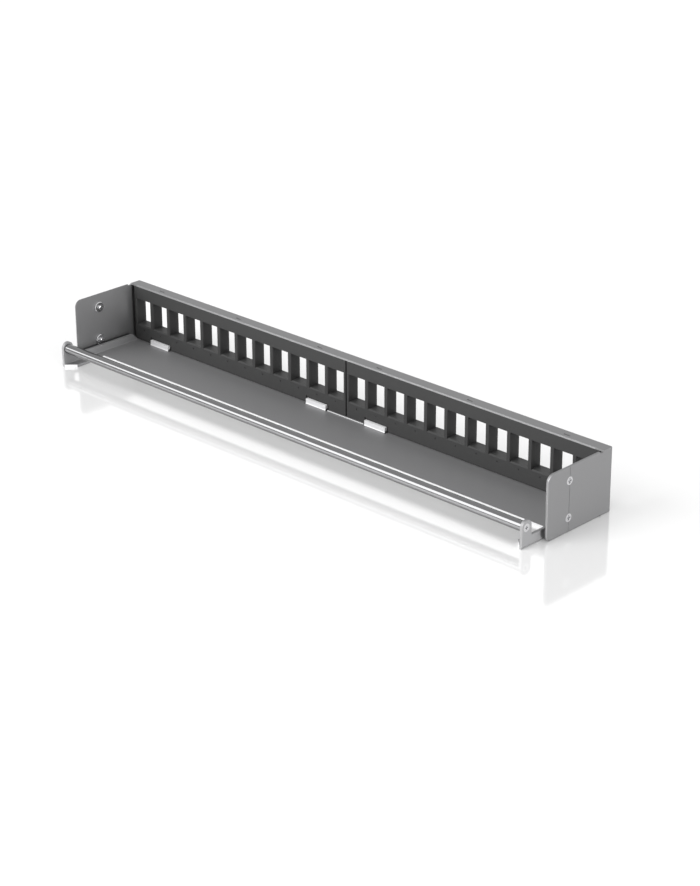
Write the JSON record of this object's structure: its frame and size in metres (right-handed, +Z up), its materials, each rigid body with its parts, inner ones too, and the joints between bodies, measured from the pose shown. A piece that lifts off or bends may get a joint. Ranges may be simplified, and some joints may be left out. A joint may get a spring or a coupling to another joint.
{
  "type": "keystone patch panel",
  "caption": "Rack patch panel body for snap-in keystone jacks, with a folded steel chassis, plastic port blocks, a cable tray and a round lacing bar.",
  "frame": {"origin": "middle of the footprint, on the underside", "axes": "+X along the panel, +Y towards the side the jacks face, +Z up; the tray and the bar are on the -Y side"},
  "size_m": [0.44, 0.0792, 0.0444],
  "materials": {
    "chassis_steel": "satin",
    "tray_steel": "satin",
    "port_plastic": "matte",
    "bar_steel": "polished",
    "fastener_steel": "zinc plated"
  },
  "bodies": {
    "root": {"chassis": "chassis_steel", "tray": "tray_steel", "module_left": "port_plastic", "module_right": "port_plastic", "cable_bar": "bar_steel", "bar_screw_left": "fastener_steel", "ear_screw_left_lower": "fastener_steel", "ear_nut_left_lower": "fastener_steel", "ear_screw_left_upper": "fastener_steel", "ear_nut_left_upper": "fastener_steel", "bar_screw_right": "fastener_steel", "ear_screw_right_lower": "fastener_steel", "ear_nut_right_lower": "fastener_steel", "ear_screw_right_upper": "fastener_steel", "ear_nut_right_upper": "fastener_steel"}
  },
  "joints": []
}
